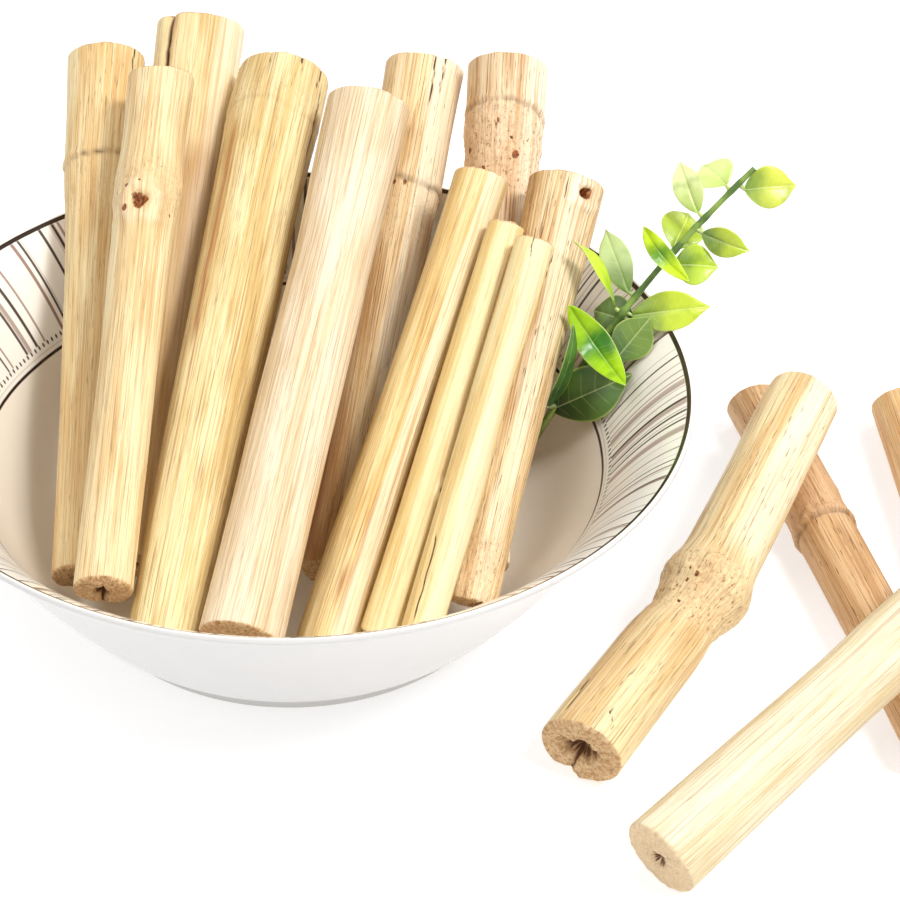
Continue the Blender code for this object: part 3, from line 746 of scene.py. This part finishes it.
def stemLine():
    # Centre line of the CAD stem, from planes across the line between its two ends.
    corners, triangles = cadCorners("sprig_stem")
    axis = np.linalg.svd(corners - corners.mean(0), full_matrices=False)[2][0]
    axis = axis * np.sign(axis[2])
    base = corners.mean(0)
    side = np.cross(axis, (0, 0, 1))
    side /= np.linalg.norm(side)
    frameAxes = np.stack([side, np.cross(axis, side), axis])
    turned = (corners - base) @ frameAxes.T
    low, high = turned[:, 2].min(), turned[:, 2].max()
    heights = np.linspace(low + 0.8 * mm, high - 0.8 * mm, 40)
    centres = []
    for height, cut in zip(heights, planeCuts(turned, triangles, heights)):
        x, y = (cut.min(0) + cut.max(0)) / 2
        centres.append((x, y, height))
    line = base + np.array(centres) @ frameAxes
    line = smoothRows(line, 2.0)
    return line if line[0, 2] < line[-1, 2] else line[::-1]


def tubeAlong(line, radii, columns, relief=0.0):
    # a circle of varying radius carried along a line, its axes turned as little as possible
    along = np.gradient(line, axis=0)
    along /= np.linalg.norm(along, axis=1)[:, None]
    side = np.cross(along, (0.35, 0.9, -0.2))
    side /= np.linalg.norm(side, axis=1)[:, None]
    up = np.cross(side, along)
    angle = np.arange(columns) / columns * fullTurn
    reach = (radii[:, None] + relief)[..., None] * mm
    ring = np.cos(angle)[None, :, None] * side[:, None] + np.sin(angle)[None, :, None] * up[:, None]
    return line[:, None] + reach * ring


def resample(line, count):
    run = np.concatenate([[0], np.cumsum(np.linalg.norm(np.diff(line, axis=0), axis=1))])
    wanted = np.linspace(0, run[-1], count)
    return np.stack([np.interp(wanted, run, line[:, i]) for i in range(3)], 1)


def stemMaterial():
    sh = Shader("stemGreen")
    s = stemMake
    place = sh.add("TexCoord", {}, {}, "Object")
    run = sh.attribute("stemRun")
    mottle = sh.noise(place, 260.0, 2.0)
    fine = sh.noise(place, 1600.0, 2.0)
    colour = sh.mix(sh.step(mottle, 0.35, 0.65), s["deep"], s["light"])
    colour = sh.mix(sh.step(run, 0.3, 0.02) * 0.8, colour, s["footBrown"])
    return sh.finish(colour, 0.38 + 0.2 * mottle, mottle + fine * 0.5, 0.12 * mm)


def buildStem(line, leafRoots):
    run = np.linspace(0, 1, len(line))
    radii = 0.72 - 0.18 * run
    for root in leafRoots:
        nearest = np.linalg.norm(line - root, axis=1).argmin()
        radii = radii + stemMake["swell"] * bell((run - run[nearest]) * 65, 0.9) * (0.6 + 0.4 * (1 - run))
    radii = np.minimum(radii, 1.1)
    turn = np.arange(stemMake["columns"]) / stemMake["columns"]
    relief = 0.05 * softNoise(turn[None], run[:, None] * 14, 7, 811)
    points = tubeAlong(line, radii, stemMake["columns"], relief)
    shape = points.shape[:2]
    mesh = closedTube("sprigStem", points, {"stemRun": np.broadcast_to(run[:, None], shape)})
    placePiece("sprigStem", mesh, stemMaterial(), "stem_green", "sprig_stem")


leafMake = {
    "rows": 44,
    "halfColumns": 11,
    "thickness": 0.42,      # mm
    "veins": 6,
    "facing": (0.0, -0.8, 0.6),
}

# outline: how early the leaf is widest; tip: how drawn out its point is; grow: how much
# longer and wider the blade is than its plain CAD blade. with: a second CAD leaf on the same
# node of the stem, where both make one folded pair that clasps the stem from the front.
leafLooks = {
    "leaf_01_tip": {"tones": ("cfd84a", "7f9c3a"), "outline": 0.85, "tip": 1.1, "grow": (1.0, 1.0)},
    "leaf_02": {"tones": ("dbe894", "b2c95a"), "outline": 0.9, "tip": 1.0, "grow": (1.25, 1.15)},
    "leaf_03": {"tones": ("dfe9a0", "a9c25a"), "outline": 0.9, "tip": 1.2, "grow": (1.05, 1.05)},
    "leaf_04": {"tones": ("b9cc3c", "64823a"), "outline": 0.9, "tip": 1.0, "grow": (1.1, 1.05)},
    "leaf_05": {"tones": ("bccf38", "93ad2c"), "outline": 0.95, "tip": 0.8, "grow": (1.1, 1.1)},
    "leaf_06": {"tones": ("c9e80e", "5c9008"), "outline": 0.95, "tip": 0.9, "with": "leaf_08",
                "pairHalf": 2.0, "forward": 2.3, "middleShift": (0.2, 1.6, 2.1),
                "tipShifts": ((0.2, -0.2, 1.4), (1.4, 0.4, 2.2))},
    "leaf_07": {"tones": ("b4cf2a", "7c9c26"), "outline": 0.9, "tip": 0.8, "grow": (1.15, 1.1)},
    "leaf_09": {"tones": ("c6da38", "71903a"), "outline": 0.95, "tip": 1.0, "grow": (1.02, 1.05)},
    "leaf_10": {"tones": ("c6e02a", "86b418"), "outline": 0.9, "tip": 1.3, "grow": (1.12, 1.25)},
    "leaf_11": {"tones": ("b9cd88", "7f9c50"), "outline": 0.9, "tip": 1.2, "grow": (1.1, 1.15)},
    "leaf_12": {"tones": ("6f8f50", "41642e"), "outline": 1.0, "tip": 0.6, "grow": (1.2, 1.3),
                "shift": (5.2, -0.8, -1.0)},
    "leaf_13": {"tones": ("74903e", "45672a"), "outline": 1.05, "tip": 0.6, "grow": (1.5, 1.35),
                "shift": (0.0, -1.8, 1.3)},
    "leaf_14": {"tones": ("a8d60c", "3c8206"), "outline": 1.0, "tip": 0.7, "with": "leaf_15",
                "pairHalf": 3.4, "forward": 1.6, "middleShift": (-0.3, 0.0, 0.0),
                "tipShifts": ((0.3, 2.3, 3.0), (1.7, 0.1, 0.1))},
    "leaf_16": {"tones": ("4f7c30", "23481a"), "outline": 0.9, "tip": 1.2, "grow": (1.22, 1.7),
                "shift": (-0.3, -4.4, 2.4)},
    "leaf_17": {"tones": ("4c6e28", "1c3812"), "outline": 1.0, "tip": 0.8, "grow": (1.2, 1.35),
                "shift": (-0.6, 1.5, 2.0)},
}


def leafBlank(node, line):
    # The CAD leaf's own directions, and its bend as c0 + c1 u + c2 u^2 + c3 |v| fitted to it.
    corners, _ = cadCorners(node)
    single = np.unique(np.round(corners, 6), axis=0)
    centre = single.mean(0)
    along, _, face = np.linalg.svd(single - centre, full_matrices=False)[2]
    run = (single - centre) @ along
    ends = [centre + along * run.min(), centre + along * run.max()]
    gaps = [np.linalg.norm(line - end, axis=1).min() for end in ends]
    if gaps[0] > gaps[1]:
        along = -along
    if face @ np.array(leafMake["facing"]) < 0:
        face = -face
    across = np.cross(face, along)
    local = (single - centre) @ np.stack([along, across, face], 1)
    u, v, w = local.T
    terms = np.c_[np.ones(len(u)), u, u**2, np.abs(v)]
    bend = np.linalg.lstsq(terms, w, rcond=None)[0]
    return centre, np.stack([along, across, face]), (u.min(), u.max()), v.max(), bend


def leafSurface(node, look, line, seed):
    # u runs from base to tip, v from edge to edge. The half width is sin(pi u^k) drawn to a
    # point, the height is the CAD bend plus a sunk midrib, side veins and a wavy margin.
    centre, axes, (start, end), half, bend = leafBlank(node, line)
    rows, halfColumns = leafMake["rows"], leafMake["halfColumns"]
    u = (0.5 - 0.5 * np.cos(np.linspace(0, math.pi, rows)))[:, None]
    v = np.linspace(-1, 1, 2 * halfColumns + 1)[None]
    longer, wider = look["grow"]
    half = half * wider
    width = np.sin(math.pi * u ** look["outline"]) ** 0.85
    width = width * (1 - 0.35 * look["tip"] * ease(u, 0.72, 1.0)) + 0.07 * (1 - u) ** 3 + 0.015
    x = start + (end - start) * longer * u
    y = v * width * half
    w = bend[0] + bend[1] * x + bend[2] * x**2 + bend[3] * np.abs(y)
    size = (end - start) / mm
    slope = u * leafMake["veins"] - 0.9 * np.abs(v)
    vein = np.abs(np.mod(slope, 1.0) - 0.5) * 2
    inside = (1 - np.abs(v) ** 4) * np.sin(math.pi * np.clip(u, 0, 1))
    lift = -0.2 * bell(v * width, 0.08) * (1 - 0.4 * u)
    lift = lift + 0.05 * (1 - vein**2) * inside * ease(np.abs(v), 0.05, 0.3)
    rng = np.random.default_rng(seed)
    phase = rng.uniform(0, fullTurn, 3)
    lift = lift + 0.018 * size * np.sin(u * 7 + phase[0] + 2 * v) * np.abs(v) ** 2
    lift = lift - 0.05 * size * ease(u, 0.7, 1.0) ** 2 * rng.uniform(0.2, 1.0)
    w = w + lift * mm
    centre = centre + np.array(look.get("shift", (0, 0, 0))) * mm
    points = centre + x[..., None] * axes[0] + y[..., None] * axes[1] + w[..., None] * axes[2]
    flow = np.stack([u + 0 * v, v + 0 * u, width * half / mm + 0 * v], -1)
    return points, flow


def pairSurface(node, look, line, seed):
    # Two facing leaves as one blade: u runs from one tip through the stem's node to the other
    # along a quadratic curve, and the blade folds up from its midrib like an open V.
    ends = []
    for each in (node, look["with"]):
        centre, axes, (start, end), _, _ = leafBlank(each, line)
        ends.append((centre + axes[0] * start, centre + axes[0] * end))
    facing = np.array(leafMake["facing"])
    middle = (ends[0][0] + ends[1][0]) / 2 + (facing * look["forward"] + look["middleShift"]) * mm
    tips = [end[1] + np.array(shift) * mm for end, shift in zip(ends, look["tipShifts"])]
    control = 2 * middle - (tips[0] + tips[1]) / 2
    rows, halfColumns = leafMake["rows"], leafMake["halfColumns"]
    u = (0.5 - 0.5 * np.cos(np.linspace(0, math.pi, rows)))[:, None]
    v = np.linspace(-1, 1, 2 * halfColumns + 1)[None]
    path = (1 - u) ** 2 * tips[0] + 2 * u * (1 - u) * control + u**2 * tips[1]
    along = 2 * (1 - u) * (control - tips[0]) + 2 * u * (tips[1] - control)
    along /= np.linalg.norm(along, axis=1)[:, None]
    across = np.cross(facing, along)
    across /= np.linalg.norm(across, axis=1)[:, None]
    face = np.cross(along, across)
    width = np.sin(math.pi * u ** look["outline"]) ** 0.62 + 0.01
    y = v * width * look["pairHalf"]
    rng = np.random.default_rng(seed)
    phase = rng.uniform(0, fullTurn)
    lift = 0.32 * np.abs(y) - 0.2 * bell(y, 0.35)
    lift = lift + 0.25 * np.sin(u * 9 + phase + 2.5 * v) * v**2
    points = path[:, None] + (y[..., None] * across[:, None] + lift[..., None] * face[:, None]) * mm
    flow = np.stack([np.abs(2 * u - 1) + 0 * v, v + 0 * u, width * look["pairHalf"] + 0 * v], -1)
    return points, flow


def leafMesh(name, points, flow, line, rootRow, paired):
    # The blade as a closed skin: the upper grid, and the same grid pushed back by the leaf's
    # thickness, which thins to the margin, sewn together at the edge; and a stalk to the stem.
    rows, columns = points.shape[:2]
    alongU = np.gradient(points, axis=0)
    acrossV = np.gradient(points, axis=1)
    normal = np.cross(alongU, acrossV)
    normal /= np.linalg.norm(normal, axis=2)[..., None] + 1e-12
    v = flow[..., 1]
    fuller = 0.35 + 0.65 * np.sin(math.pi * np.clip(flow[..., 0], 0.03, 0.97))
    thick = leafMake["thickness"] * mm * (1 - 0.8 * np.abs(v) ** 3) * fuller
    front = points + normal * thick[..., None] / 2
    back = points - normal * thick[..., None] / 2
    index = np.arange(rows * columns).reshape(rows, columns)
    other = index + rows * columns
    quads = [np.stack([index[:-1, :-1], index[1:, :-1], index[1:, 1:], index[:-1, 1:]], -1).reshape(-1, 4),
             np.stack([other[:-1, :-1], other[:-1, 1:], other[1:, 1:], other[1:, :-1]], -1).reshape(-1, 4)]
    edge = np.concatenate([index[0, :-1], index[:-1, -1], index[-1, :0:-1], index[:0:-1, 0]])
    following = np.roll(edge, -1)
    shift = rows * columns
    quads.append(np.stack([edge, following, following + shift, edge + shift], -1))
    base = points[rootRow].mean(0)
    joint = line[np.linalg.norm(line - base, axis=1).argmin()]
    t = np.linspace(0, 1, 9)[:, None]
    start = points[rootRow + 2].mean(0)
    if paired:
        start = points[rootRow, columns // 2] + (joint - base) * 0.3
        base = start * 0.6 + joint * 0.4
    path = (1 - t) ** 2 * start + 2 * t * (1 - t) * base + t**2 * joint
    stalk = tubeAlong(path, np.linspace(0.22, 0.55, 9), 10)
    stalkIndex = np.arange(90).reshape(9, 10) + 2 * shift
    nextIndex = np.roll(stalkIndex, -1, axis=1)
    stalkQuads = np.stack([stalkIndex[:-1], stalkIndex[1:], nextIndex[1:], nextIndex[:-1]], -1)
    quads.append(stalkQuads.reshape(-1, 4))
    faces = np.concatenate(quads).tolist() + [stalkIndex[0].tolist(), stalkIndex[-1, ::-1].tolist()]
    every = np.concatenate([front.reshape(-1, 3), back.reshape(-1, 3), stalk.reshape(-1, 3)])
    stalkFlow = np.tile((0.0, 0.0, 1.0), (90, 1))
    flows = np.concatenate([flow.reshape(-1, 3), flow.reshape(-1, 3), stalkFlow])
    backSide = np.concatenate([np.zeros(shift), np.ones(shift), np.zeros(90)])
    return makeMesh(name, every, faces, {"leafFlow": flows, "backSide": backSide})


leafColours = {
    "vein": paint("e3eca6"),
    "margin": paint("d5e37a"),
    "shade": paint("2f5a12"),
    "underside": paint("a9bf7c"),
}


def leafMaterial(node, look):
    # Waxy leaf: deep green by the stalk turning light towards the tip and the margin, with a
    # fine midrib, faint side veins and soft mottling.
    sh = Shader("waxyLeaf" + pieceName(node).capitalize())
    c = leafColours
    flow = sh.attribute("leafFlow", "Vector")
    u, v, width = (sh.add("SeparateXYZ", {}, {"Vector": flow}, i) for i in (0, 1, 2))
    place = sh.add("TexCoord", {}, {}, "Object")
    away = sh.math("ABSOLUTE", v)
    mottle = sh.noise(place, 210.0, 2.0, 0.5)
    fine = sh.noise(place, 1500.0, 2.0)
    light, deep = (paint(tone) for tone in look["tones"])
    towardsTip = sh.step(u + (mottle - 0.5) * 0.7 + away * 0.12, 0.05, 0.75)
    colour = sh.mix(towardsTip, deep, light)
    colour = sh.mix(sh.step(mottle, 0.45, 0.25) * 0.3, colour, c["shade"])
    slope = u * leafMake["veins"] - away * 0.9 + mottle * 0.12
    fromVein = sh.math("ABSOLUTE", sh.math("FRACT", slope) - 0.5) * 2.0
    veins = sh.step(fromVein, 0.12, 0.02) * sh.step(away, 0.9, 0.5)
    rib = sh.step(away * width, 0.2, 0.05)
    colour = sh.mix(veins * 0.14, colour, c["vein"])
    colour = sh.mix(rib * 0.4, colour, c["vein"])
    colour = sh.mix(sh.step(away, 0.9, 1.0) * 0.55, colour, c["margin"])
    colour = sh.mix(sh.attribute("backSide") * 0.35, colour, c["underside"])
    height = mottle * 0.5 + fine * 0.25 + fromVein * 0.15
    return sh.finish(colour, 0.28 + 0.2 * fine, height, 0.15 * mm,
                     **{"Coat Weight": 0.2, "Coat Roughness": 0.2})


def buildSprig():
    line = resample(stemLine(), stemMake["rings"])
    roots = []
    for number, (node, look) in enumerate(leafLooks.items()):
        shape = pairSurface if "with" in look else leafSurface
        points, flow = shape(node, look, line, 500 + number)
        rootRow = leafMake["rows"] // 2 if "with" in look else 0
        roots.append(points[rootRow].mean(0))
        mesh = leafMesh(pieceName(node), points, flow, line, rootRow, "with" in look)
        stoodFor = [node, look["with"]] if "with" in look else [node]
        placePiece(pieceName(node), mesh, leafMaterial(node, look), "leaf_green", *stoodFor)
    buildStem(line, roots)


studio = {
    "floorSize": 6.0,          # m
    "worldStrength": 0.51,
    "floorGlow": 0.62,
    "keyWatts": 12.4,
    "keySize": 0.34,
    "keyPlace": (0.60, -0.34, 1.10),
    "rimWatts": 4.0,
    "rimSize": 0.5,
    "rimPlace": (0.7, 0.9, 0.8),
    "fillWatts": 5.0,
    "fillSize": 0.9,
    "fillPlace": (-0.62, -0.35, 1.05),
    "aim": (0, 0, 0.03),
    "lens": 88.0,
    "sensor": 36.0,
    "lookDown": 36.872,        # degrees
    "roll": 1.9766,
    "fromBowl": (0.030531, -0.343626, 0.287100),
}


def floorMaterial():
    sh = Shader("paperFloor")
    place = sh.add("TexCoord", {}, {}, "Object")
    cloud = sh.noise(place, 3.0, 2.0)
    colour = sh.mix(cloud, paint("bab9b9"), paint("bebdbd"))
    glow = {"Emission Color": (1.0, 1.0, 1.0, 1.0), "Emission Strength": studio["floorGlow"]}
    return sh.finish(colour, 0.8, sh.noise(place, 900.0, 2.0), 0.02 * mm, **glow)


def buildFloor():
    half = studio["floorSize"] / 2
    corners = np.array([(-half, -half, 0), (half, -half, 0), (half, half, 0), (-half, half, 0)])
    mesh = makeMesh("paperFloor", corners, [[0, 1, 2, 3]])
    mesh.materials.append(floorMaterial())
    floor = bpy.data.objects.new("paperFloor", mesh)
    collection.objects.link(floor)


def addArea(name, place, watts, size):
    lamp = bpy.data.lights.new(name, "AREA")
    lamp.energy, lamp.size = watts, size
    holder = bpy.data.objects.new(name, lamp)
    holder.location = place
    aim = Vector(studio["aim"]) - Vector(place)
    holder.rotation_euler = aim.to_track_quat("-Z", "Y").to_euler()
    collection.objects.link(holder)


def buildStudio():
    world = bpy.data.worlds.new("softRoom")
    bpy.context.scene.world = world
    world.use_nodes = True
    background = world.node_tree.nodes["Background"]
    background.inputs["Color"].default_value = (1.0, 1.0, 1.0, 1.0)
    background.inputs["Strength"].default_value = studio["worldStrength"]
    for name, lamp in (("keyLight", "key"), ("leftFill", "fill"), ("backRim", "rim")):
        addArea(name, *(studio[lamp + part] for part in ("Place", "Watts", "Size")))
    low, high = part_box("bowl")
    middle = (low + high) / 2
    camera = bpy.data.objects.new("camera", bpy.data.cameras.new("camera"))
    camera.data.lens, camera.data.sensor_width = studio["lens"], studio["sensor"]
    turn = Matrix.Rotation(math.radians(90 - studio["lookDown"]), 4, "X")
    roll = Matrix.Rotation(math.radians(studio["roll"]), 4, "Z")
    place = Vector((middle.x, middle.y, 0.0)) + Vector(studio["fromBowl"])
    camera.matrix_world = Matrix.Translation(place) @ turn @ roll
    camera.data.clip_start, camera.data.clip_end = 0.01, 20.0
    collection.objects.link(camera)
    bpy.context.scene.camera = camera
    bpy.context.scene.view_settings.view_transform = "Standard"


buildFloor()
buildStudio()
print("floor, lights and camera are up")
buildBowl()
print("bowl is turned and painted")
buildCanes()
print("canes are cut:", len(caneLooks))
buildSprig()
print("sprig is grown:", len(leafLooks), "leaves")
